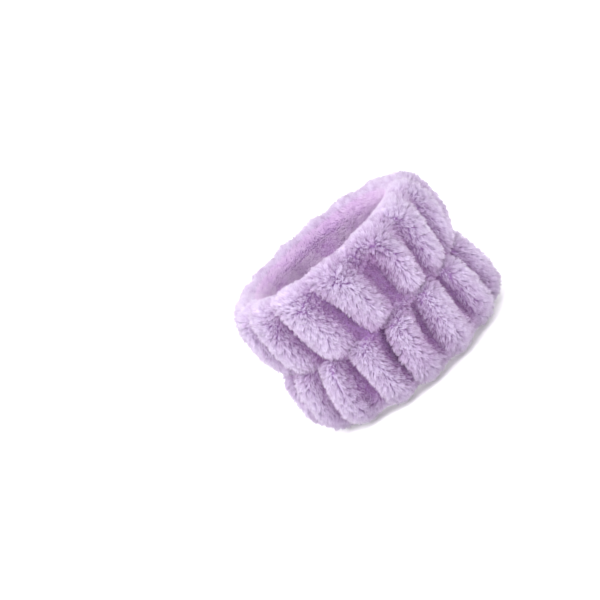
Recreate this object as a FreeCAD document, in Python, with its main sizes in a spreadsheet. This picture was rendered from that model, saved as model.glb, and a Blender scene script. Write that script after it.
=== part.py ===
"""Plush spa wristband: a coral-fleece ring with two gathered puff rows, drawn in by three elastic loops.

The ring stands on its lower edge with its axis along +Z. The origin is the centre of the circle that it
stands on. The closing seams and the elastics' laps are at the back, on +Y.
"""

import FreeCAD, Part
import math
import os
from collections import namedtuple

import Sketcher

Vector = FreeCAD.Vector

# Every size that can be set by itself, in millimetres unless its name says otherwise.
SIZES = {
    "band_height": 60,
    "opening_radius": 26,
    "wall_thickness": 19,
    "cover_thickness": 6.5,
    "lining_thickness": 5,
    "seam_reach": 0.5,
    "crest_flat": 2.5,
    "waist_depth": 4,
    "waist_run": 7,
    "cavity_corner": 2,
    "gather_count": 15,
    "gather_depth": 2.5,
    "gather_radius": 4,
    "elastic_width": 8,
    "elastic_thickness": 1.2,
    "elastic_lap": 12,
    "neck_margin": 1,
    "thread_diameter": 0.5,
    "thread_clearance": 0.05,
    "row_inset": 1.5,
    "bartack_pitch": 2.5,
}
BARTACK_STITCHES = 4
FULL_TURN, BACK = 360, 90
SHEET = "Sizes"

doc = FreeCAD.newDocument("spa_wristband")


class Size:
    """A number worked out from the sheet: its value now, and the expression that keeps it up to date."""

    def __init__(self, value, text):
        self.value, self.text = value, text

    def _with(self, sign, other, result):
        other = as_size(other)
        return Size(result(self.value, other.value), f"({self.text} {sign} {other.text})")

    def __add__(self, other):
        return self._with("+", other, lambda a, b: a + b)

    def __sub__(self, other):
        return self._with("-", other, lambda a, b: a - b)

    def __mul__(self, other):
        return self._with("*", other, lambda a, b: a * b)

    def __truediv__(self, other):
        return self._with("/", other, lambda a, b: a / b)


def as_size(number):
    return number if isinstance(number, Size) else Size(number, repr(number))


def angle_over(length, radius):
    """The angle in degrees that a length takes up round a circle."""
    return length / radius * 180 / Size(math.pi, "pi")


def around(radius, degrees):
    """The x and y of a point on a circle about the axis, turned anticlockwise from +X."""
    angle = math.radians(degrees.value)
    across = Size(radius.value * math.cos(angle), f"({radius.text} * cos({degrees.text} * 1 deg))")
    along = Size(radius.value * math.sin(angle), f"({radius.text} * sin({degrees.text} * 1 deg))")
    return across, along


def make_sheet():
    """The driving dimensions, one row each, and a Size for each alias."""
    sheet = doc.addObject("Spreadsheet::Sheet", SHEET)
    found = {}
    for row, (name, number) in enumerate(SIZES.items(), start=1):
        sheet.set(f"A{row}", name)
        sheet.set(f"B{row}", str(number))
        sheet.setAlias(f"B{row}", name)
        found[name] = Size(number, f"{SHEET}.{name}")
    doc.recompute()
    return found


size = make_sheet()
NONE = Size(0, "0")

# Heights, and radii from the opening outwards, that several pieces share.
height = size["band_height"]
middle = height / 2
opening = size["opening_radius"]
outside = opening + size["wall_thickness"]
lining_back = opening + size["lining_thickness"]
elastic_face = lining_back + size["elastic_thickness"]
thread_radius = size["thread_diameter"] / 2
stitch_room = size["thread_diameter"] + size["thread_clearance"] * 2
neck_radius = elastic_face + stitch_room
cover_back = outside - size["cover_thickness"]
crest_inner = size["cover_thickness"] + size["seam_reach"]
crest_outer = size["wall_thickness"] - crest_inner - size["crest_flat"]
neck_low = middle - size["elastic_width"] / 2 - size["neck_margin"]
row_offset = size["elastic_width"] / 2 - size["row_inset"]


def flipped(z):
    """The same height measured down from the top edge."""
    return height - z


def on_face(radius):
    """Where a thread's centre line runs when it lies on a round face of that radius."""
    return radius + thread_radius + size["thread_clearance"]


def bind(thing, sizes):
    """Ties each property of a feature to its size."""
    for path, length in sizes.items():
        thing.setExpression(path, length.text)


# Outlines. A Step goes to its end in a line, or round its centre in an arc that turns left or right.
Step = namedtuple("Step", "end centre radius turn", defaults=(None, None, None))


def origin_feature(body, role):
    return next(f for f in body.Origin.OriginFeatures if f.Role == role)


def point(corner):
    return Vector(corner[0].value, corner[1].value, 0)


def add_segment(sketch, start, step):
    """Adds one line or arc. Returns its number, and the ends that it starts and stops at."""
    if step.centre is None:
        return sketch.addGeometry(Part.LineSegment(point(start), point(step.end))), 1, 2
    hub = point(step.centre)
    circle = Part.Circle(hub, Vector(0, 0, 1), step.radius.value)
    first, last = (math.atan2(p.y - hub.y, p.x - hub.x) for p in (point(start), point(step.end)))
    if step.turn == "left":
        return sketch.addGeometry(Part.ArcOfCircle(circle, first, last)), 1, 2
    return sketch.addGeometry(Part.ArcOfCircle(circle, last, first)), 2, 1


def bound_constraint(sketch, length, *what):
    made = sketch.addConstraint(Sketcher.Constraint(*what, length.value))
    sketch.setExpression(f"Constraints[{made}]", length.text)


def outline(body, name, plane, steps):
    """A closed sketch that starts where its last step ends, every corner placed from the sheet."""
    sketch = body.newObject("Sketcher::SketchObject", name)
    sketch.AttachmentSupport = (origin_feature(body, plane), [""])
    sketch.MapMode = "FlatFace"
    corners = [steps[-1].end] + [step.end for step in steps[:-1]]
    placed = [add_segment(sketch, corner, step) for corner, step in zip(corners, steps)]
    for index, (number, begins, _) in enumerate(placed):
        before, _, stops = placed[index - 1]
        sketch.addConstraint(Sketcher.Constraint("Coincident", before, stops, number, begins))
    for (number, begins, _), (x, z), step in zip(placed, corners, steps):
        bound_constraint(sketch, x, "DistanceX", -1, 1, number, begins)
        if z is NONE:
            sketch.addConstraint(Sketcher.Constraint("PointOnObject", number, begins, -1))
        else:
            bound_constraint(sketch, z, "DistanceY", -1, 1, number, begins)
        if step.radius:
            bound_constraint(sketch, step.radius, "Radius", number)
    return sketch


def rectangle(body, name, inner, outer, low, high):
    """The section of a flat band, on the plane through the back, so that part of a turn is centred there."""
    steps = [Step((outer, low)), Step((outer, high)), Step((inner, high)), Step((inner, low))]
    return outline(body, name, "YZ_Plane", steps)


# Features and plain solids.
def new_body(label):
    body = doc.addObject("PartDesign::Body", label + "_body")
    body.Label = label
    return body


def turn(body, sketch, name, kind="Revolution", angle=None):
    """Revolves a section about the axis: all the way round, or by an angle centred on the sketch's plane."""
    feature = body.newObject("PartDesign::" + kind, name)
    feature.Profile = sketch
    feature.ReferenceAxis = (sketch, ["V_Axis"])
    feature.Angle = FULL_TURN
    if angle is not None:
        feature.Midplane = True
        bind(feature, {"Angle": angle})
    sketch.Visibility = False
    return feature


def cylinder(name, radius, length, x, y, z):
    """An upright round solid."""
    made = doc.addObject("Part::Cylinder", name)
    bind(made, {"Radius": radius, "Height": length})
    bind(made, {"Placement.Base.x": x, "Placement.Base.y": y, "Placement.Base.z": z})
    return made


def ring(name, radius, z, start=NONE, sweep=as_size(FULL_TURN)):
    """A thread laid round the axis, all the way or from one angle by a sweep."""
    made = doc.addObject("Part::Torus", name)
    bind(made, {"Radius1": radius, "Radius2": thread_radius, "Angle3": sweep})
    bind(made, {"Placement.Base.z": z, "Placement.Rotation.Angle": start})
    return made


def group(label, solids):
    made = doc.addObject("Part::Compound", label)
    made.Links = solids
    return made


# The outer panel.
def cover_outline(body):
    """Its half section: over the top crest, in at the waist, under the lower crest and back up inside."""
    depth, run = size["waist_depth"], size["waist_run"]
    bend = (run * run + depth * depth) / (depth * 2)
    flat_in, flat_out = opening + crest_inner, outside - crest_outer
    seam_top, shoulder = flipped(crest_inner), flipped(crest_outer)
    waist_top, waist_low = middle + run, middle - run
    outer_side = [
        Step((flat_in, height), (flat_in, seam_top), crest_inner, "right"),
        Step((flat_out, height)),
        Step((outside, shoulder), (flat_out, shoulder), crest_outer, "right"),
        Step((outside, waist_top)),
        Step((outside - depth, middle), (outside - bend, waist_top), bend, "right"),
        Step((outside, waist_low), (outside - bend, waist_low), bend, "right"),
        Step((outside, crest_outer)),
        Step((flat_out, NONE), (flat_out, crest_outer), crest_outer, "right"),
        Step((flat_in, NONE)),
        Step((opening, crest_inner), (flat_in, crest_inner), crest_inner, "right"),
        Step((lining_back, crest_inner)),
    ]
    upper_cavity = cavity_half(flipped)
    lower_cavity = cavity_half(lambda z: z)
    closing = [Step((lining_back, seam_top)), Step((opening, seam_top))]
    return outline(body, "cover_section", "XZ_Plane", outer_side + lower_cavity + upper_cavity + closing)


def cavity_half(place):
    """The hollow side of one puff row. place turns a height in the lower row into one in the row wanted."""
    corner = size["cavity_corner"]
    floor = size["cover_thickness"]
    bend = cover_back - corner
    rising, falling = place(floor + corner), place(neck_low - corner)
    steps = [
        Step((lining_back, place(floor))),
        Step((bend, place(floor))),
        Step((cover_back, rising), (bend, rising), corner, "left"),
        Step((cover_back, falling)),
        Step((bend, place(neck_low)), (bend, falling), corner, "left"),
        Step((neck_radius, place(neck_low))),
    ]
    if place is not flipped:
        return steps
    ends = [step.end for step in reversed(steps)]
    hubs = [step[1:] for step in reversed(steps)]
    return [Step(ends[0])] + [Step(end, *hub) for end, hub in zip(ends[1:], hubs)]


def cut_gathers(body, name, bottom, first):
    """One row of gathers: upright round valleys, evenly spaced, the first at a share of a pitch from +X."""
    reach = outside + size["gather_radius"] - size["gather_depth"]
    x, y = around(reach, as_size(FULL_TURN) / size["gather_count"] * first)
    valley = body.newObject("PartDesign::SubtractiveCylinder", name + "_valley")
    valley.Placement.Base = Vector(x.value, y.value, bottom.value)
    bind(valley, {"Radius": size["gather_radius"], "Height": middle})
    bind(valley, {"Placement.Base.x": x, "Placement.Base.y": y, "Placement.Base.z": bottom})
    doc.recompute()
    pattern = body.newObject("PartDesign::PolarPattern", name + "_gathers")
    pattern.Originals = [valley]
    pattern.Axis = (origin_feature(body, "Z_Axis"), [""])
    pattern.Angle = FULL_TURN
    bind(pattern, {"Occurrences": size["gather_count"]})
    body.Tip = pattern
    doc.recompute()


def make_outer_cover():
    """The outer fleece panel, pile included: a ring that bends round both edges to meet the lining."""
    body = new_body("outer_cover")
    turn(body, cover_outline(body), "cover_ring")
    lap_face = neck_radius + size["elastic_thickness"]
    lap_section = rectangle(body, "lap_room_section", neck_radius, lap_face, neck_low, flipped(neck_low))
    lap_span = size["elastic_lap"] + size["neck_margin"] * 2
    turn(body, lap_section, "lap_room", "Groove", angle_over(lap_span, neck_radius))
    doc.recompute()
    cut_gathers(body, "upper", middle, 0)
    cut_gathers(body, "lower", NONE, 0.5)
    return body


def make_cover_closing_seam():
    """The thread that closes the outer panel into a ring, on the hollow side of both puff rows."""
    low = size["cover_thickness"] + size["cavity_corner"]
    length = neck_low - size["cavity_corner"] - low
    radius = cover_back - thread_radius - size["thread_clearance"]
    lower = cylinder("closing_seam_lower", thread_radius, length, NONE, radius, low)
    upper = cylinder("closing_seam_upper", thread_radius, length, NONE, radius, flipped(low) - length)
    return group("cover_closing_seam", [lower, upper])


# The lining.
lining_length = height - crest_inner * 2
lining_seam_radius = lining_back - thread_radius - size["thread_clearance"]


def make_inner_lining():
    """The inner fleece panel: a tube between the edge seams, with a groove behind for its closing seam."""
    tube = cylinder("lining_outside", lining_back, lining_length, NONE, NONE, crest_inner)
    bore = cylinder("lining_bore", opening, height, NONE, NONE, NONE)
    groove_radius = thread_radius + size["thread_clearance"] * 2
    groove = cylinder("lining_groove", groove_radius, height, NONE, lining_seam_radius, NONE)
    hollow = doc.addObject("Part::Cut", "lining_tube")
    hollow.Base, hollow.Tool = tube, bore
    lining = doc.addObject("Part::Cut", "inner_lining")
    lining.Base, lining.Tool = hollow, groove
    return lining


def make_lining_closing_seam():
    """The thread that closes the lining into a tube."""
    y, z = lining_seam_radius, crest_inner
    return cylinder("lining_closing_seam", thread_radius, lining_length, NONE, y, z)


# The elastics and what sews them in.
def make_elastic(label, centre):
    """A flat elastic loop. Its two ends lie one on the other for the length of the lap."""
    body = new_body(label)
    low, high = centre - size["elastic_width"] / 2, centre + size["elastic_width"] / 2
    loop = rectangle(body, label + "_loop_section", lining_back, elastic_face, low, high)
    turn(body, loop, label + "_loop")
    outer_end = elastic_face + size["elastic_thickness"]
    lap = rectangle(body, label + "_lap_section", elastic_face, outer_end, low, high)
    turn(body, lap, label + "_lap", angle=angle_over(size["elastic_lap"], elastic_face))
    return body


def make_bartack(label, centre):
    """The thread that holds an elastic's lap: upright stitches side by side on its face."""
    length = (row_offset - stitch_room / 2) * 2
    radius = on_face(elastic_face + size["elastic_thickness"])
    pitch = angle_over(size["bartack_pitch"], radius)
    middle_stitch = (BARTACK_STITCHES - 1) / 2
    stitches = []
    for number in range(BARTACK_STITCHES):
        x, y = around(radius, pitch * (number - middle_stitch) + BACK)
        name = f"{label}_stitch_{number + 1}"
        stitches.append(cylinder(name, thread_radius, length, x, y, centre - length / 2))
    return group(label, stitches)


def make_stitch_row(label, z):
    """One row of stitching all round an elastic: on its face, and over its lap."""
    lap = angle_over(size["elastic_lap"], elastic_face)
    past_lap, before_lap = lap / 2 + BACK, (lap / 2 - BACK) * -1
    over_face = ring(label + "_face", on_face(elastic_face), z, past_lap, (lap - FULL_TURN) * -1)
    over_lap = ring(label + "_lap", on_face(elastic_face + size["elastic_thickness"]), z, before_lap, lap)
    return group(label, [over_face, over_lap])


def make_elastics_and_stitching():
    """The three elastic loops, the rows of stitching that sew them in, and the two edge seams."""
    bottom = crest_inner + stitch_room + size["elastic_width"] / 2
    rows = {
        "bottom_elastic_stitch": bottom + row_offset,
        "waist_stitch_lower": middle - row_offset,
        "waist_stitch_upper": middle + row_offset,
        "top_elastic_stitch": flipped(bottom + row_offset),
    }
    pieces = []
    for level, centre in (("bottom", bottom), ("waist", middle), ("top", flipped(bottom))):
        pieces.append(make_elastic(level + "_elastic", centre))
        pieces.append(make_bartack(level + "_elastic_bartack", centre))
    pieces += [make_stitch_row(label, z) for label, z in rows.items()]
    pieces.append(ring("bottom_edge_seam", on_face(lining_back), crest_inner))
    pieces.append(ring("top_edge_seam", on_face(lining_back), flipped(crest_inner)))
    return pieces


def check(pieces):
    """Stops with a plain message if a feature failed or a piece isn't made of sound solids."""
    for thing in doc.Objects:
        if "Invalid" in thing.State or "Error" in thing.State:
            raise RuntimeError(f"{thing.Name} failed: {thing.State}")
    for piece in pieces:
        shape = piece.Shape
        if shape.isNull() or not shape.isValid() or not shape.Solids:
            raise RuntimeError(f"{piece.Label} isn't a sound solid")


def main():
    pieces = [make_outer_cover(), make_cover_closing_seam(), make_inner_lining(), make_lining_closing_seam()]
    pieces += make_elastics_and_stitching()
    doc.recompute()
    check(pieces)
    os.makedirs("parts", exist_ok=True)
    for piece in pieces:
        piece.Shape.exportStep(f"parts/{piece.Label}.step")
        print(f"{piece.Label}: {len(piece.Shape.Solids)} solids, {piece.Shape.Volume:.1f} mm3")


main()
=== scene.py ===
"""Plush spa wristband: a gathered coral-fleece ring with a real pile, standing on its lower edge.

The fleece is one closed ring of cloth in the simulation and two panels after it: the outer cover, which
wraps over both edges, and the lining of the opening. The pile is made of strands that grow out of both.
Lengths are in millimetres, and MM turns them into metres.
"""
import math

import bpy
import numpy as np
from mathutils import Matrix, Vector
from mathutils.kdtree import KDTree


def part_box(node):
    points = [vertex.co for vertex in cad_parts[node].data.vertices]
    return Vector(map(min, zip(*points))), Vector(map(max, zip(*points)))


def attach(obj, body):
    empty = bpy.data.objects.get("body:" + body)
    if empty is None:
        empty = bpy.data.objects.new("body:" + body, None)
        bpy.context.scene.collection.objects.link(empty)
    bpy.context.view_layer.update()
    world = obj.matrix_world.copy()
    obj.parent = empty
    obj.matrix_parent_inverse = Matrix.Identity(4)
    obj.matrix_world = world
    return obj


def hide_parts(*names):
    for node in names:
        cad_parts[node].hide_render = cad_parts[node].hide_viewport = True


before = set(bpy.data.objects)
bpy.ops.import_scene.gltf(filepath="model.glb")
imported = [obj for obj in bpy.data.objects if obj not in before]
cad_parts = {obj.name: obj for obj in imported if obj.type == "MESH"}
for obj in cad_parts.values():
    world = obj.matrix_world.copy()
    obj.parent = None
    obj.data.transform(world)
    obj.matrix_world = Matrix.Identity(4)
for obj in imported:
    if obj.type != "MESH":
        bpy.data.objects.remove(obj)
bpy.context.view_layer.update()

MM = 0.001
TURN = 2 * math.pi
rng = np.random.default_rng(7)

# ---------------------------------------------------------------- sizes
cover_low, cover_high = (np.array(corner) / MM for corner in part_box("outer_cover"))
lining_low, lining_high = (np.array(corner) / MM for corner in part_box("inner_lining"))
OUTSIDE = (cover_high[0] - cover_low[0]) / 2
LINING_BACK = (lining_high[0] - lining_low[0]) / 2
MIDDLE = (cover_high[2] - cover_low[2]) / 2  # the waist's height

# The fleece's section: out from the lining's back, and up or down from the waist. It runs from the edge seam
# over the crest to the waist, along a ridge and along a valley.
UPPER_RIDGE = (
    (-1.6, 22.0), (-1.2, 24.0), (0.6, 26.2), (3.9, 27.4), (7.6, 26.5),
    (10.6, 22.4), (11.5, 16.0), (11.2, 9.0), (9.8, 3.8), (6.2, 0.0),
)
UPPER_VALLEY = (
    (-1.6, 22.0), (-1.1, 24.0), (0.8, 26.0), (3.9, 26.9), (6.8, 25.0),
    (6.2, 20.3), (4.6, 15.2), (4.0, 9.6), (4.4, 4.6), (6.2, 0.0),
)
LOWER_RIDGE = (
    (-1.6, 22.0), (-1.0, 23.8), (1.0, 25.2), (4.6, 25.9), (8.3, 24.4),
    (10.9, 20.6), (11.4, 15.0), (11.2, 8.4), (9.8, 3.2), (6.2, 0.0),
)
LOWER_VALLEY = (
    (-1.6, 22.0), (-0.9, 23.6), (1.2, 24.8), (4.2, 25.0), (6.2, 22.9),
    (5.2, 18.6), (4.3, 14.0), (3.9, 8.8), (4.2, 4.2), (6.2, 0.0),
)
LINING = ((-1.6, -22.0), (-2.3, -11.0), (-2.1, 0.0), (-2.3, 11.0), (-1.6, 22.0))
CLOTH_THICKNESS = 1.0
SWELL = 0.35  # how much the ridges differ in how far out they are
PUCKER = 0.8  # how much the lining's surface rises and falls

# Gathers that face the viewer. Each is a valley: its angle at the edge and at the waist, in degrees round
# from the front (-Y) towards +X, how deep it is as a share of the full depth, how narrow it is, from 0 to 1,
# and how far its crease leans sideways, in degrees.
UPPER_GATHERS = (
    (-65, -62, 0.75, 0.5, 0), (-43, -39, 0.9, 0.5, -1.5), (-16, -10.5, 1.0, 0.9, -2.5),
    (10, 20, 1.0, 0.0, -1.0), (36, 38, 0.65, 0.3, 0), (61, 58, 0.7, 0.4, 0),
)
LOWER_GATHERS = (
    (-57, -47, 0.8, 0.4, 0), (-28, -28, 1.0, 0.1, -1.5), (-7, -1, 1.0, 1.0, -2.0),
    (15, 19, 0.9, 0.35, -1.5), (43, 40, 0.8, 0.4, -1.0), (69, 62, 0.8, 0.5, 0),
)
GATHERS_ROUND = 15
WANDER = 1.3  # how far a valley's line strays to either side, in degrees
SKEW = 0.4  # about how far each lobe's ridge sits towards its left edge, as a share of its half width
TIP_REACH = 6.0  # how far from the waist a lobe's rounded end begins
VALLEY_FLOOR = 0.3  # about how wide the floor of the widest valley is, as a share of half a lobe
SOFT_POWER = 1.25  # the profile of a soft lobe, a wave, and of a tight one, a pad with a round shoulder
TIGHT_POWER, TIGHT_SHOULDER = 3.2, 0.6
# A sharp crease is painted with shade beside it, in the pile's colour.
CREASE_REACH = (1.1, 2.5)  # how far a sharp crease's shade reaches, to the right of it and to the left

# How high the cloth stands, from 1 on a ridge to 0 at DEEPEST under one, for the pile's length and for its
# painted shade: the lower the cloth stands, the darker its pile is painted.
DEEPEST = 6.5
# Below WAIST_HEIGHT over the waist, a ridge counts as deep by a share of how far inside WAIST_EDGE it is,
# which paints shade into the waist's groove and shortens the pile there.
WAIST_HEIGHT, WAIST_EDGE, WAIST_SHARE = 12, 10.4, 0.8
# A sharp crease's height below 0 paints its shade darker, fading from the waist to the crest.
CREASE_DEPTH = 0.5  # how far below 0 a sharp crease goes
CREASE_TOP, CREASE_FADE = 1.2, 24  # a crease fades from the waist to the crest

COLUMNS = 360
ANGLES = np.arange(COLUMNS) * TURN / COLUMNS  # round from the front
ROW_STEPS, LINING_STEPS = 30, 24
COVER_ROWS = 2 * ROW_STEPS - 1

# The cloth simulation: how firmly the parts of the ring are held, from 0 to 1, and how far a point may move.
SETTLE_FRAMES = 20
MOST_SETTLED = 2.5
LIP_ROWS = 9  # rows of the cover from the edge seam to the crest
VALLEY_HELD, LIP_HELD, LINING_HELD = 0.35, 0.85, 0.9

# The pile. A strand belongs to a tuft, and is shorter the deeper it stands, and painted darker there as
# shade.
OUTER_PILE = {
    "per_mm2": 10.5, "tufts_per_mm2": 0.56, "length": 3.5, "width": 0.23, "gather": 0.5, "comb": 0.6,
}
INNER_PILE = {
    "per_mm2": 10.0, "tufts_per_mm2": 0.5, "length": 2.4, "width": 0.3, "gather": 0.15, "comb": 0.3,
}
SECTORS = 8
SHORT_LIP_ROWS = 7  # rows of the cover, on from the edge seam, that carry the lining's short pile
TUFT_LEAN, STRAND_LEAN = 0.17, 0.2  # how far the two stray from the cloth's normal
COMB_REACH, COMB_FADE = 24, 8  # how far from the waist the pile lies along the cloth, and how it fades
TUFT_LENGTHS, STRAND_LENGTHS, STRAND_WIDTHS = (0.85, 1.1), (0.7, 1.1), (0.8, 1.2)
VALLEY_LENGTH, VALLEY_DENSITY = 0.62, 0.6  # shares of the pile's length and density that a valley has
RIDGE_DENSITY, CREST_DENSITY = 0.7, 0.7  # how much denser the pile is there
# Below that, a strand's colour ramp stops short of its tip, showing darker root colours: painted shade.
TONE_LIFT = 0.6  # how far down from a ridge the tips keep their full tone, as a share of DEEPEST
TIP_SPREAD = 0.3  # how far apart a tuft's tips stay, as a share of their roots' distance
BEND_OUT, BEND_STRAY = 0.12, 0.07  # how far a strand's bend is off the straight, as a share of its length
BEND_WIDTH = 0.8  # a strand's width at its bend, as a share of its width at the root
ROOT_DEPTH = 0.3  # how far under the cloth's surface a strand starts
LOWEST_TIP, LOWEST_SPREAD = 0.15, 0.3  # the pile stops this far above the floor, and up to this much higher
# Painted shade: the base and depth parts make the tint low where the cloth stands low; the tuft and strand
# parts are random tone.
BASE_TINT, PAINTED_DEPTH_SHADE, TUFT_TINT, STRAND_TINT = 0.1, 0.82, 0.38, 0.08  # what a strand's tint is made up of
PAINTED_DEPTH_SHADE_POWER = 1.6
SPIKE_SHADING = 0.16  # how much of a strand's own roundness shows, over the cloth's shading

# A strand's seven points are a triangle at its root, a triangle at its bend and its tip. Its faces are the
# root, three quads up to the bend, and three triangles up to the tip.
SPIKE_POINTS = 7
SPIKE_SIZES = [3, 4, 4, 4, 3, 3, 3]
SPIKE_CORNERS = [2, 1, 0] + [0, 1, 4, 3, 1, 2, 5, 4, 2, 0, 3, 5] + [3, 4, 6, 4, 5, 6, 5, 3, 6]

# Patches of painted shade, where the pile is painted darker: the angle round from the front and the height
# over the waist, how far each reaches in degrees and in millimetres, and how much darker it is.
PAINTED_SHADE_PATCHES = ((-5, 28, 12, 4, 0.25), (-5, 3, 8, 5, 0.22), (17, 21, 7, 6, 0.4), (3, -16, 8, 8, 0.2))

# Colours, as levels from 0 to 255. The pile has a dark ramp and a pale one, each from root to tip. The dark
# ramp is partly painted shade of valleys and creases and partly random tone; the darker roots are painted
# shade deep in the pile.
LONG_PILE_DARK = ((120, 79, 130), (172, 128, 183), (202, 168, 214))
LONG_PILE_LIGHT = ((198, 171, 216), (222, 203, 237), (236, 224, 245))
SHORT_PILE_DARK = ((192, 143, 208), (206, 160, 221), (219, 180, 231))
SHORT_PILE_LIGHT = ((222, 194, 234), (232, 206, 240), (238, 216, 245))
OUTER_BACKING, LINING_BACKING = (176, 134, 196), (206, 164, 218)
ELASTIC, THREAD = (234, 232, 229), (188, 164, 200)


# ---------------------------------------------------------------- the fleece's shape
def spline(points, count):
    """Points evenly placed by index along a smooth open curve through the given ones."""
    given = np.array(points, float)
    padded = np.vstack([2 * given[0] - given[1], given, 2 * given[-1] - given[-2]])
    at = np.linspace(0, len(given) - 1, count)
    whole = np.minimum(at.astype(int), len(given) - 2)
    share = (at - whole)[:, None]
    p0, p1, p2, p3 = (padded[whole + k] for k in range(4))
    return 0.5 * (
        2 * p1
        + (p2 - p0) * share
        + (2 * p0 - 5 * p1 + 4 * p2 - p3) * share**2
        + (3 * p1 - p0 - 3 * p2 + p3) * share**3
    )


def waves(seed, count=5, most=7):
    """A smooth function of the angle and the height, from about -1 to 1, the same each time."""
    draw = np.random.default_rng(seed)
    turns = draw.integers(1, most, count)
    climbs = draw.uniform(-0.12, 0.12, count)
    starts = draw.uniform(0, TURN, count)

    def value(angle, height):
        parts = (np.sin(n * angle + c * height + s) for n, c, s in zip(turns, climbs, starts))
        return sum(parts) / count**0.5

    return value


def all_gathers(front, seed, lead):
    """The front gathers, and the ones that fill the rest of the circle at an uneven pitch.

    lead moves the ones at the back on, by a share of the pitch, so that a lobe lies over the closing seam.
    """
    draw = np.random.default_rng(seed)
    rest = GATHERS_ROUND - len(front)
    edge_gap = 360 + front[0][0] - front[-1][0]
    waist_gap = 360 + front[0][1] - front[-1][1]
    found = list(front)
    for number in range(1, rest + 1):
        share = (number + lead * math.sin(math.pi * number / (rest + 1))) / (rest + 1)
        drift = draw.uniform(-3.5, 3.5)
        slant = draw.uniform(-3, 3)
        edge = front[-1][0] + edge_gap * share + drift + slant
        waist = front[-1][1] + waist_gap * share + drift - slant
        found.append((edge, waist, draw.uniform(0.75, 1.0), draw.uniform(0, 0.6), draw.uniform(-2.5, 1)))
    return np.array(found)


def lobe_profile(away, depth, narrow):
    """How far out a lobe is, from its ridge, where away is 0, to the valley beside it, where away is 1.

    Its side goes from soft to tight as narrow goes from 0 to 1.
    """
    soft = 0.5 + 0.5 * np.cos(math.pi * away**SOFT_POWER)
    tight = np.clip(1 - away**TIGHT_POWER, 0, 1) ** TIGHT_SHOULDER
    return 1 - depth * (1 - soft - (tight - soft) * narrow)


def lobes(gathers, climb, seed):
    """The lobes of one row, as grids over the heights from the waist, climb, and the angles round.

    They say how far out each point is, from valley, 0, to ridge, 1, how far it is turned round, in radians,
    and how much of a sharp crease's painted shade it lies in, from 0 to 1.
    """
    stray = waves(seed)
    up = np.clip(climb / MIDDLE, 0, 1)[:, None]
    centres = [g[1] + (g[0] - g[1]) * up for g in gathers]
    bends = [WANDER * stray(np.radians(c), climb[:, None] * 2) for c in centres]
    lines = np.hstack([c + b for c, b in zip(centres, bends)])
    lines = np.hstack([lines, lines[:, :1] + 360])
    in_tip = np.clip(1 - climb / TIP_REACH, 0, 1)[:, None]
    off_waist = np.minimum(1, climb[:, None] / TIP_REACH)
    out = np.ones((len(climb), COLUMNS))
    turned, crease = np.zeros_like(out), np.zeros_like(out)
    degrees = np.degrees(ANGLES)[None, :]
    for number in range(len(gathers)):
        left, right = lines[:, number : number + 1], lines[:, number + 1 : number + 2]
        around = left + (degrees - left) % 360
        inside = around < right
        across = 2 * (around - left) / (right - left) - 1
        across = across + SKEW * (1 - across**2)
        on_left = across < 0
        nearer = gathers[np.where(on_left, number, (number + 1) % len(gathers))]
        depth, narrow, lean = nearer[..., 2], nearer[..., 3], nearer[..., 4]
        off = (1 - np.abs(across)) * np.radians(right - left) / 2 * OUTSIDE
        # Painted shade beside a sharp crease, reaching CREASE_REACH to the right of it and to the left.
        shade = narrow * np.exp(-((off / np.where(on_left, *CREASE_REACH)) ** 2))
        narrow = np.where(on_left, 0.4 + 0.6 * narrow, 0.5 * narrow)
        floor = VALLEY_FLOOR * (1 - narrow) ** 2 * (0.4 + 0.6 * up)
        away = np.minimum(1, np.abs(across) * (1 + floor))
        shape = lobe_profile(away, depth, narrow)
        corner = np.clip(away**2 + in_tip**2 - 1, 0, 1)
        shape = shape * (1 - corner * corner * (3 - 2 * corner))
        shift = lean * np.clip(2 * away - 1, 0, 1) * shape * off_waist
        crease = np.where(inside, shade, crease)
        out = np.where(inside, shape, out)
        turned = np.where(inside, shift, turned)
    return out, np.radians(turned), crease


def ring_of(radius, z, angles):
    """Points at a radius, a height and an angle round from the front."""
    return np.stack([radius * np.sin(angles), -radius * np.cos(angles), z + 0 * radius], -1)


def row_of_puffs(ridge, valley, gathers, side, seed):
    """One row of the cover from its edge seam to the waist: a grid of points, and how high each stands.

    side is 1 for the row above the waist and -1 for the one below. The heights go from 1 on a ridge to 0 in
    a deep valley, and below 0 in a sharp crease; they set the pile's length and its painted shade, darker
    lower down.
    """
    high, low = spline(ridge, ROW_STEPS), spline(valley, ROW_STEPS)
    beyond, climb = high[:, 0], high[:, 1]
    out, turned, crease = lobes(gathers, climb, seed)
    swell = SWELL * waves(seed + 50)(ANGLES[None, :], climb[:, None])
    section = low[:, None] + (high - low)[:, None] * out[..., None]
    radius = LINING_BACK + section[..., 0] + swell * out
    z = MIDDLE + side * section[..., 1]
    # The waist's groove counts as deeper there: painted shade, and a shorter pile.
    dip = np.where(climb < WAIST_HEIGHT, np.clip(WAIST_EDGE - beyond, 0, None), 0) * WAIST_SHARE
    depth = (1 - out) * np.linalg.norm(high - low, axis=1)[:, None] + dip[:, None]
    # A sharp crease pushes the height below 0: painted shade along it.
    crease = crease * np.clip(CREASE_TOP - climb / CREASE_FADE, 0, 1)[:, None]
    height = np.clip(1 - depth / DEEPEST, 0, 1) * (1 - crease) - CREASE_DEPTH * crease
    return ring_of(radius, z, ANGLES[None, :] + turned), height


def lining_rows():
    """The lining from the lower edge seam to the upper one, without the two rows that the cover has too."""
    section = spline(LINING, LINING_STEPS)[1:-1]
    fading = 1 - (section[:, 1:2] / LINING[-1][1]) ** 4
    pucker = PUCKER * waves(91, count=8, most=19)(ANGLES[None, :], section[:, 1:2] * 1.5) * fading
    radius = LINING_BACK + section[:, :1] + pucker
    return ring_of(radius, MIDDLE + section[:, 1:2] + 0 * radius, ANGLES[None, :])


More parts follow.
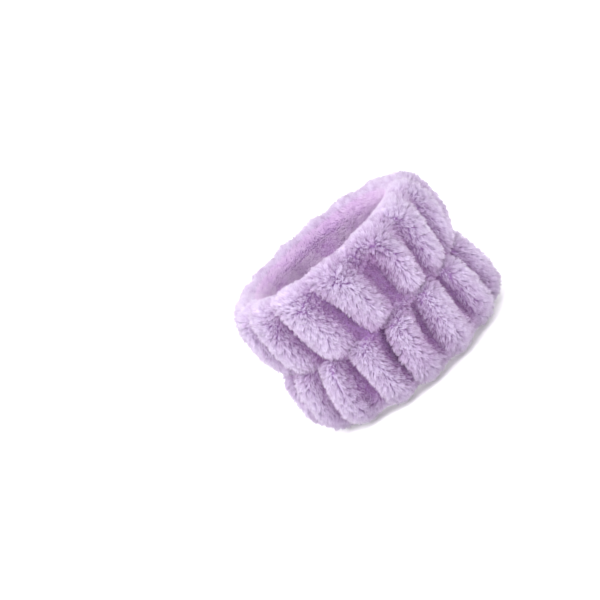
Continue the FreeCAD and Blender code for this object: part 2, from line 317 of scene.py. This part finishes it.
# ---------------------------------------------------------------- meshes
def grid_faces(rows, columns):
    """Quads over a grid of points that closes up both ways."""
    down = np.arange(rows)[:, None]
    across = np.arange(columns)[None, :]
    below, beside = (down + 1) % rows, (across + 1) % columns
    here, next_row = down * columns, below * columns
    quads = [here + across, here + beside, next_row + beside, next_row + across]
    return np.stack(np.broadcast_arrays(*quads), -1).reshape(-1, 4)


def mesh_object(name, points, face_sizes, corners):
    """A smooth-shaded mesh made from arrays: points in metres, each face's corner count, and all corners."""
    mesh = bpy.data.meshes.new(name)
    mesh.vertices.add(len(points))
    mesh.vertices.foreach_set("co", np.ascontiguousarray(points, np.float32).ravel())
    mesh.loops.add(len(corners))
    mesh.loops.foreach_set("vertex_index", np.ascontiguousarray(corners, np.int32))
    mesh.polygons.add(len(face_sizes))
    starts = np.concatenate([[0], np.cumsum(face_sizes)[:-1]])
    mesh.polygons.foreach_set("loop_start", starts.astype(np.int32))
    mesh.polygons.foreach_set("loop_total", np.ascontiguousarray(face_sizes, np.int32))
    mesh.polygons.foreach_set("use_smooth", np.ones(len(face_sizes), bool))
    mesh.update(calc_edges=True)
    mesh.validate()
    made = bpy.data.objects.new(name, mesh)
    bpy.context.scene.collection.objects.link(made)
    return made


def quad_object(name, points, quads):
    return mesh_object(name, points, np.full(len(quads), 4), quads.ravel())


def float_attribute(mesh, name, values):
    layer = mesh.attributes.new(name, "FLOAT", "POINT")
    layer.data.foreach_set("value", np.ascontiguousarray(values, np.float32))


def unit(vectors):
    return vectors / np.maximum(np.linalg.norm(vectors, axis=-1, keepdims=True), 1e-9)


def grid_normals(points):
    """Unit normals of a grid that closes round its columns, facing out of the ring of cloth."""
    round_it = np.roll(points, -1, 1) - np.roll(points, 1, 1)
    along = np.gradient(points, axis=0)
    return unit(np.cross(along, round_it))


# ---------------------------------------------------------------- the cloth
def held_weights(height, lining_count):
    """How firmly each point of the ring of cloth is held while it settles. The waist's row is pinned."""
    cover = VALLEY_HELD * (1 - height).round(1)
    cover[ROW_STEPS - 1] = 1
    cover[:LIP_ROWS] = LIP_HELD
    cover[-LIP_ROWS:] = LIP_HELD
    lining = np.full((lining_count, COLUMNS), LINING_HELD)
    return np.concatenate([cover, lining]).round(2)


def settle(points, held):
    """Puts the closed ring of cloth under pressure from inside, and says where its points come to rest.

    The sections are laid out puffed already, and at this pressure no point moves by more than 0.1 mm.
    """
    rows, columns = points.shape[:2]
    quads = grid_faces(rows, columns)
    ring = quad_object("settling", points.reshape(-1, 3) * MM, quads)
    group = ring.vertex_groups.new(name="held")
    weights = held.ravel()
    for weight in np.unique(weights):
        group.add([int(i) for i in np.flatnonzero(weights == weight)], float(weight), "REPLACE")
    cloth = ring.modifiers.new("Cloth", "CLOTH")
    settings = cloth.settings
    settings.quality = 6
    settings.mass = 0.3
    settings.tension_stiffness = settings.compression_stiffness = 12
    settings.shear_stiffness = 4
    settings.bending_stiffness = 0.4
    settings.air_damping = 4
    settings.use_pressure = True
    settings.uniform_pressure_force = 4
    settings.vertex_group_mass = "held"
    settings.effector_weights.gravity = 0
    cloth.collision_settings.use_collision = False
    cloth.collision_settings.use_self_collision = False
    cloth.point_cache.frame_start, cloth.point_cache.frame_end = 1, SETTLE_FRAMES
    scene = bpy.context.scene
    for number in range(1, SETTLE_FRAMES + 1):
        scene.frame_set(number)
    shown = ring.evaluated_get(bpy.context.evaluated_depsgraph_get()).to_mesh()
    flat = np.zeros(rows * columns * 3, np.float32)
    shown.vertices.foreach_get("co", flat)
    scene.frame_set(1)
    bpy.data.objects.remove(ring, do_unlink=True)
    moved = flat.reshape(rows, columns, 3) / MM - points
    far = np.linalg.norm(moved, axis=-1, keepdims=True)
    print("settled: mean move %.2f mm, most %.2f mm" % (far.mean(), far.max()))
    return points + moved * np.minimum(1, MOST_SETTLED / np.maximum(far, 1e-9))


def panel(name, points, material):
    """A cloth panel: the grid, and the same grid again one thickness behind it, closed along both edges."""
    back = points - grid_normals(points) * CLOTH_THICKNESS
    shell = np.concatenate([points, back[::-1]])
    made = quad_object(name, shell.reshape(-1, 3) * MM, grid_faces(len(shell), COLUMNS))
    made.data.materials.append(material)
    return made


# ---------------------------------------------------------------- the pile
def scatter(points, per_mm2, extra=1):
    """Random places on a grid at an even density: cell row and column, and the place inside the cell."""
    corner, right = points[:-1], np.roll(points, -1, 1)[:-1]
    below, far = points[1:], np.roll(points, -1, 1)[1:]
    area = np.linalg.norm(np.cross(right - corner, below - corner), axis=-1) / 2
    area += np.linalg.norm(np.cross(right - far, below - far), axis=-1) / 2
    wanted = area * per_mm2 * extra
    steps = np.floor(np.cumsum(wanted.ravel()) + rng.uniform())
    counts = np.diff(np.concatenate([[0], steps])).astype(int)
    cell = np.repeat(np.arange(len(counts)), counts)
    return cell // points.shape[1], cell % points.shape[1], rng.uniform(size=(2, len(cell)))


def on_grid(values, places):
    """The values of a grid at scattered places."""
    row, column, (down, across) = places
    beside = (column + 1) % values.shape[1]
    if values.ndim == 3:
        down, across = down[:, None], across[:, None]
    top = values[row, column] * (1 - across) + values[row, beside] * across
    bottom = values[row + 1, column] * (1 - across) + values[row + 1, beside] * across
    return top * (1 - down) + bottom * down


def nearest(places, targets):
    """For each place, the number of the target that is nearest to it."""
    tree = KDTree(len(targets))
    for index, place in enumerate(targets):
        tree.insert(place, index)
    tree.balance()
    return np.array([tree.find(place)[1] for place in places])


def painted_shade_at(points):
    """How much darker the pile is painted at each point of a grid, in the patches of painted shade."""
    angle = np.degrees(np.arctan2(points[..., 0], -points[..., 1]))
    climb = points[..., 2] - MIDDLE
    shade = np.zeros(angle.shape)
    for at, height, wide, tall, darker in PAINTED_SHADE_PATCHES:
        shade += darker * np.exp(-(((angle - at) / wide) ** 2) - ((climb - height) / tall) ** 2)
    return shade


def grow_tufts(points, normals, per_mm2, length, comb):
    """The tufts that strands gather into: where each stands, its direction, its length and its tint.

    Near the waist they lie onward along the cloth's rows, which is down the cover and up the lining.
    """
    places = scatter(points, per_mm2)
    root, normal = on_grid(points, places), unit(on_grid(normals, places))
    onward = unit(on_grid(np.gradient(points, axis=0), places))
    lying = comb * np.clip((COMB_REACH - np.abs(root[:, 2] - MIDDLE)) / COMB_FADE, 0, 1)
    count = len(root)
    lean = rng.normal(size=(count, 3)) * TUFT_LEAN
    way = unit(normal + lean + onward * lying[:, None])
    long = length * rng.uniform(*TUFT_LENGTHS, count)
    tint = rng.uniform(-0.5, 0.5, count)
    return root, way, long, tint


def pile(points, heights, short, shade, crest, per_mm2, tufts_per_mm2, length, width, gather, comb):
    """Strands that grow out of a grid of cloth: where each starts and ends, its tint, width and shading.

    heights says how high each point of the grid stands, which sets the pile's length and its painted shade,
    short is the pile's length there as a share, shade is how much darker it is painted, and crest how much
    denser.
    """
    normals = grid_normals(points)
    tuft_root, tuft_way, tuft_length, tuft_tint = grow_tufts(points, normals, tufts_per_mm2, length, comb)
    rising = VALLEY_DENSITY + RIDGE_DENSITY * np.clip(heights[:-1], 0, 1) ** 2
    places = scatter(points, per_mm2, rising * (1 + CREST_DENSITY * crest))
    root, normal = on_grid(points, places), unit(on_grid(normals, places))
    height, stub = on_grid(heights, places), on_grid(short, places)
    # tone sets both the strand's length and how far along its colour ramp it reaches, which paints shade.
    tone = np.clip(TONE_LIFT + height, 0, 1)
    height = np.clip(height, 0, 1)
    mine = nearest(root, tuft_root)
    count = len(root)

    spread = rng.normal(size=(count, 3)) * STRAND_LEAN
    way = unit(normal * 0.5 + tuft_way[mine] * 0.5 + spread)
    reach = tuft_length[mine] * rng.uniform(*STRAND_LENGTHS, count)
    reach = reach * (VALLEY_LENGTH + (1 - VALLEY_LENGTH) * height) * (0.5 + 0.5 * tone) * stub
    reach = reach[:, None]
    free_tip = root + way * reach
    tuft_tip = tuft_root[mine] + tuft_way[mine] * reach + (root - tuft_root[mine]) * TIP_SPREAD
    tip = free_tip + (tuft_tip - free_tip) * gather * np.clip(2.4 * stub - 1.4, 0, 1)[:, None]
    bend = (normal * BEND_OUT + rng.normal(size=(count, 3)) * BEND_STRAY) * reach
    middle = (root + tip) / 2 + bend
    root = root - normal * ROOT_DEPTH
    lowest = LOWEST_TIP + LOWEST_SPREAD * rng.uniform(size=count)
    for part in (middle, tip):
        part[:, 2] = np.maximum(part[:, 2], lowest)

    # Painted shade: the tint falls where the cloth stands low, in sharp creases and in the patches of painted
    # shade; the tuft and strand parts are random tone.
    tint = (
        BASE_TINT
        + PAINTED_DEPTH_SHADE * height**PAINTED_DEPTH_SHADE_POWER * (0.8 * stub + 0.2)
        + TUFT_TINT * tuft_tint[mine]
        + rng.normal(size=count) * STRAND_TINT
    )
    return {
        "row": places[0],
        "root": root,
        "middle": middle,
        "tip": tip,
        "tint": np.clip(tint - on_grid(shade, places), 0, 1),
        "tone": tone,
        "width": width * rng.uniform(*STRAND_WIDTHS, count),
        "normal": unit(normal + 0.35 * unit(tip - root)),
    }


def pile_object(name, strands, chosen, material):
    """One piece of pile: every strand is a closed three-sided spike with a bend in its middle."""
    root, middle, tip, normal = (strands[k][chosen] for k in ("root", "middle", "tip", "normal"))
    count = len(root)
    half = strands["width"][chosen][:, None, None] / 2
    along = unit(tip - root)
    side = unit(np.cross(along, unit(rng.normal(size=(count, 3)))))
    other = np.cross(along, side)
    turns = np.arange(3) * TURN / 3
    ring = side[:, None] * np.cos(turns)[:, None] + other[:, None] * np.sin(turns)[:, None]
    at_root, at_bend = root[:, None] + ring * half, middle[:, None] + ring * half * BEND_WIDTH
    points = np.concatenate([at_root, at_bend, tip[:, None]], 1).reshape(-1, 3)
    corners = (np.arange(count)[:, None] * SPIKE_POINTS + np.array(SPIKE_CORNERS)).ravel()
    made = mesh_object(name, points * MM, np.tile(SPIKE_SIZES, count), corners)
    made.data.materials.append(material)

    # The material reads the tint and the place along the strand. The map holds the same two, for the export.
    mesh = made.data
    tint = strands["tint"][chosen]
    # along stops short of 1 where the tone is low, so strands down in valleys show only their darker root
    # colours: painted shade.
    climb = strands["tone"][chosen][:, None] * np.array([0, 0, 0, 0.5, 0.5, 0.5, 1])
    float_attribute(mesh, "tint", np.repeat(tint, SPIKE_POINTS))
    float_attribute(mesh, "along", climb.ravel())
    across = 0.01 + 0.96 * tint[:, None] + np.array([0, 0.006, 0.012, 0, 0.006, 0.012, 0.006])
    upward = 0.02 + 0.96 * climb + np.array([0, 0.02, 0, 0, 0.02, 0, 0])
    spots = np.stack([across, upward], -1).reshape(-1, 2)[corners]
    mesh.uv_layers.new(name="OFBake").data.foreach_set("uv", np.ascontiguousarray(spots, np.float32).ravel())

    outward = np.concatenate([ring, ring, along[:, None]], 1)
    turned = unit(normal[:, None] + SPIKE_SHADING * outward)
    shading = mesh.attributes.new("custom_normal", "FLOAT_VECTOR", "POINT")
    shading.data.foreach_set("vector", np.ascontiguousarray(turned, np.float32).ravel())
    return made


# ---------------------------------------------------------------- materials
def srgb(levels):
    """A colour given as three levels from 0 to 255, as the shader's linear numbers."""
    linear = []
    for level in levels:
        share = level / 255
        linear.append(share / 12.92 if share <= 0.04045 else ((share + 0.055) / 1.055) ** 2.4)
    return (*linear, 1)


def new_material(name, roughness, sheen=0.0):
    material = bpy.data.materials.new(name)
    material.use_nodes = True
    nodes, links = material.node_tree.nodes, material.node_tree.links
    shader = nodes["Principled BSDF"]
    shader.inputs["Roughness"].default_value = roughness
    shader.inputs["Sheen Weight"].default_value = sheen
    shader.inputs["Specular IOR Level"].default_value = 0.2
    return material, nodes, links, shader


def linked(nodes, links, kind, **inputs):
    """A new node with each named input set: to a number, or linked from another node's output."""
    node = nodes.new(kind)
    for name, value in inputs.items():
        socket = node.inputs[name]
        if isinstance(value, bpy.types.NodeSocket):
            links.new(value, socket)
        else:
            socket.default_value = value
    return node


def shaded_ramp(nodes, links, source, colour, darkest):
    """A ramp driven by a pattern: from a darker shade of the colour, a share of it, up to the colour."""
    ramp = linked(nodes, links, "ShaderNodeValToRGB", Fac=source)
    ramp.color_ramp.elements[0].color = tuple(darkest * c for c in colour[:3]) + (1,)
    ramp.color_ramp.elements[1].color = colour
    return ramp


def pile_material(name, dark, light):
    """Fibre colour from root to tip, mixed from a dark and a pale ramp by the tint: painted shade and random
    tone.
    """
    material, nodes, links, shader = new_material(name, 0.75, 0.25)
    along, tint = nodes.new("ShaderNodeAttribute"), nodes.new("ShaderNodeAttribute")
    along.attribute_name, tint.attribute_name = "along", "tint"
    ramps = []
    for levels in (dark, light):
        root, middle, tip = (srgb(level) for level in levels)
        ramp = linked(nodes, links, "ShaderNodeValToRGB", Fac=along.outputs["Fac"])
        ramp.color_ramp.elements[0].color, ramp.color_ramp.elements[1].color = root, tip
        ramp.color_ramp.elements.new(0.5).color = middle
        ramps.append(ramp)
    mix = nodes.new("ShaderNodeMix")
    mix.data_type = "RGBA"
    links.new(tint.outputs["Fac"], mix.inputs["Factor"])
    links.new(ramps[0].outputs["Color"], mix.inputs["A"])
    links.new(ramps[1].outputs["Color"], mix.inputs["B"])
    links.new(mix.outputs["Result"], shader.inputs["Base Color"])
    return material


def backing_material(name, colour):
    """The knitted cloth under the pile."""
    material, nodes, links, shader = new_material(name, 0.9, 0.2)
    place = nodes.new("ShaderNodeTexCoord").outputs["Object"]
    noise = linked(nodes, links, "ShaderNodeTexNoise", Vector=place, Scale=900)
    ramp = shaded_ramp(nodes, links, noise.outputs["Fac"], colour, 0.75)
    links.new(ramp.outputs["Color"], shader.inputs["Base Color"])
    return material


def ribbed_elastic(name, colour):
    """Woven elastic: ribs that run round the band, crossed by fine weft."""
    material, nodes, links, shader = new_material(name, 0.7, 0.1)
    place = nodes.new("ShaderNodeTexCoord").outputs["Object"]
    ribs = linked(nodes, links, "ShaderNodeTexWave", Vector=place, Scale=260.0, Distortion=0.4)
    ribs.bands_direction = "Z"
    weft = linked(nodes, links, "ShaderNodeTexNoise", Vector=place, Scale=2600.0, Detail=3.0)
    both = nodes.new("ShaderNodeMath")
    both.operation = "MULTIPLY"
    links.new(ribs.outputs["Fac"], both.inputs[0])
    links.new(weft.outputs["Fac"], both.inputs[1])
    ramp = shaded_ramp(nodes, links, both.outputs["Value"], colour, 0.6)
    ramp.color_ramp.elements[1].position = 0.5
    links.new(ramp.outputs["Color"], shader.inputs["Base Color"])
    height = both.outputs["Value"]
    bump = linked(nodes, links, "ShaderNodeBump", Height=height, Distance=0.0003, Strength=0.6)
    links.new(bump.outputs["Normal"], shader.inputs["Normal"])
    return material


def twisted_thread(name, colour):
    """Sewing thread: two shades that wind round it."""
    material, nodes, links, shader = new_material(name, 0.5, 0.1)
    place = nodes.new("ShaderNodeTexCoord").outputs["Object"]
    twist = linked(nodes, links, "ShaderNodeTexWave", Vector=place, Scale=700.0, Distortion=1.5)
    twist.bands_direction = "DIAGONAL"
    ramp = shaded_ramp(nodes, links, twist.outputs["Fac"], colour, 0.55)
    links.new(ramp.outputs["Color"], shader.inputs["Base Color"])
    bump = linked(nodes, links, "ShaderNodeBump", Height=twist.outputs["Fac"], Distance=0.0002, Strength=0.5)
    links.new(bump.outputs["Normal"], shader.inputs["Normal"])
    return material


# ---------------------------------------------------------------- build: the two panels of cloth
upper_gathers = all_gathers(UPPER_GATHERS, seed=3, lead=0.5)
lower_gathers = all_gathers(LOWER_GATHERS, seed=4, lead=0.2)
upper, upper_height = row_of_puffs(UPPER_RIDGE, UPPER_VALLEY, upper_gathers, side=1, seed=11)
lower, lower_height = row_of_puffs(LOWER_RIDGE, LOWER_VALLEY, lower_gathers, side=-1, seed=12)
cover_height = np.concatenate([upper_height, lower_height[::-1][1:]])
between_seams = lining_rows()
ring_points = np.concatenate([upper, lower[::-1][1:], between_seams])

ring_points = settle(ring_points, held_weights(cover_height, len(between_seams)))

cover_points = ring_points[:COVER_ROWS]
lining_points = np.concatenate([ring_points[COVER_ROWS - 1 :], ring_points[:1]])
cover = panel("outer_fleece", cover_points, backing_material("outer_backing", srgb(OUTER_BACKING)))
lining = panel("lining_fleece", lining_points, backing_material("lining_backing", srgb(LINING_BACKING)))

# ---------------------------------------------------------------- build: the pile
# inward counts the points of the cover's section, on from the nearer edge seam. The pile is shortest at the
# seam, reaches its full length past the crest, and is densest on the crest, where the cloth bends most.
SHORTEST, LENGTHENING, LENGTHENS_FROM = 0.62, 0.19, 1.5
CREST_AT, CREST_WIDTH = 3.2, 0.8
INNER_HEIGHT, INNER_MOTTLING = 0.82, 0.2
inward = np.arange(COVER_ROWS) / ROW_STEPS * (len(UPPER_RIDGE) - 1)
inward = np.minimum(inward, inward[::-1])
short = np.clip(SHORTEST + LENGTHENING * (inward - LENGTHENS_FROM), SHORTEST, 1)
crest = np.exp(-(((inward - CREST_AT) / CREST_WIDTH) ** 2))
cover_short = np.repeat(short[:, None], COLUMNS, 1)
cover_crest = np.repeat(crest[:-1, None], COLUMNS, 1)
# The cover's patches of painted shade.
cover_painted_shade = painted_shade_at(cover_points)
outer_strands = pile(cover_points, cover_height, cover_short, cover_painted_shade, cover_crest, **OUTER_PILE)
mottling = INNER_MOTTLING * waves(33, count=9, most=16)(ANGLES[None, :], lining_points[..., 2])
inner_height = INNER_HEIGHT + mottling
full_length, no_shade = np.ones_like(inner_height), np.zeros_like(inner_height)
inner_strands = pile(lining_points, inner_height, full_length, no_shade, 0, **INNER_PILE)
print("strands", len(outer_strands["root"]), len(inner_strands["root"]))

# The short strands on the lips belong to the inner piles.
from_seam = np.minimum(outer_strands["row"], COVER_ROWS - 2 - outer_strands["row"])
on_lip = from_seam < SHORT_LIP_ROWS
lip_strands = {key: values[on_lip] for key, values in outer_strands.items()}
outer_strands = {key: values[~on_lip] for key, values in outer_strands.items()}
inner_strands = {key: np.concatenate([lip_strands[key], inner_strands[key]]) for key in inner_strands}

for label, strands, slot, material in (
    ("outer", outer_strands, "outer_fleece", pile_material("long_pile", LONG_PILE_DARK, LONG_PILE_LIGHT)),
    ("inner", inner_strands, "lining_fleece", pile_material("short_pile", SHORT_PILE_DARK, SHORT_PILE_LIGHT)),
):
    angle = np.arctan2(strands["root"][:, 0], -strands["root"][:, 1]) % TURN
    sector = (angle / TURN * SECTORS).astype(int) % SECTORS
    above = strands["root"][:, 2] >= MIDDLE
    for half, rows in (("upper", above), ("lower", ~above)):
        for number in range(SECTORS):
            chosen = rows & (sector == number)
            piece = pile_object(f"{label}_pile_{half}_{number + 1}", strands, chosen, material)
            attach(piece, "root")

# ---------------------------------------------------------------- build: the sewn pieces of the frame
elastic = ribbed_elastic("woven_elastic", srgb(ELASTIC))
thread = twisted_thread("lavender_thread", srgb(THREAD))
for name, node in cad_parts.items():
    if name in ("outer_cover", "inner_lining"):
        continue
    slot, material = ("elastic", elastic) if name.endswith("elastic") else ("thread", thread)
    node.data.materials.clear()
    node.data.materials.append(material)

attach(cover, "root")
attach(lining, "root")
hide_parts("outer_cover")
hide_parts("inner_lining")

# ---------------------------------------------------------------- floor, world, camera and lights
FLOOR_REACH = 8  # metres
FLOOR_COLOUR, FLOOR_GLOW = (0.9, 0.9, 0.9, 1), 0.2
WHITE, WORLD_STRENGTH = (1, 1, 1, 1), 1.55
ELEVATION, ROLL = 12.5, 40.3  # degrees
LENS, SENSOR = 120.0, 36.0
FRAME_WIDTH = 0.222  # metres across the picture, at the band
OFF_CENTRE = (0.0248, -0.0004)  # where the band's middle is in the picture, in metres from its centre

corners = FLOOR_REACH * np.array([(-1, -1, 0), (1, -1, 0), (1, 1, 0), (-1, 1, 0)])
floor = quad_object("floor", corners, np.array([[0, 1, 2, 3]]))
floor_white, _, _, shader = new_material("floor_white", 0.9)
shader.inputs["Base Color"].default_value = FLOOR_COLOUR
shader.inputs["Emission Color"].default_value = WHITE
shader.inputs["Emission Strength"].default_value = FLOOR_GLOW
floor.data.materials.append(floor_white)

world = bpy.data.worlds.new("studio")
bpy.context.scene.world = world
world.use_nodes = True
background = world.node_tree.nodes["Background"]
background.inputs["Color"].default_value = WHITE
background.inputs["Strength"].default_value = WORLD_STRENGTH

centre = Vector((0, 0, MIDDLE * MM))
elevation, roll = math.radians(ELEVATION), math.radians(ROLL)
back = Vector((0, -math.cos(elevation), math.sin(elevation)))
level, rise = Vector((1, 0, 0)), Vector((0, math.sin(elevation), math.cos(elevation)))
right = level * math.cos(roll) - rise * math.sin(roll)
up = level * math.sin(roll) + rise * math.cos(roll)
distance = FRAME_WIDTH * LENS / SENSOR
camera_data = bpy.data.cameras.new("camera")
camera_data.lens, camera_data.sensor_width = LENS, SENSOR
camera = bpy.data.objects.new("camera", camera_data)
bpy.context.scene.collection.objects.link(camera)
place = centre + back * distance - right * OFF_CENTRE[0] - up * OFF_CENTRE[1]
camera.matrix_world = Matrix.Translation(place) @ Matrix((right, up, back)).transposed().to_4x4()
bpy.context.scene.camera = camera


def area_light(name, towards, away, size, power):
    """A square soft light. towards is where it stands, as camera right, camera up and camera back."""
    data = bpy.data.lights.new(name, "AREA")
    data.shape, data.size, data.energy = "SQUARE", size, power
    light = bpy.data.objects.new(name, data)
    bpy.context.scene.collection.objects.link(light)
    way = (right * towards[0] + up * towards[1] + back * towards[2]).normalized()
    light.location = centre + way * away
    light.rotation_mode = "QUATERNION"
    light.rotation_quaternion = (-way).to_track_quat("-Z", "Y")


area_light("key", towards=(-0.9, 0.25, 0.45), away=0.9, size=0.7, power=2.9)
area_light("fill", towards=(-0.3, 0.35, 0.9), away=0.9, size=0.5, power=3.1)
bpy.context.scene.view_settings.view_transform = "Standard"
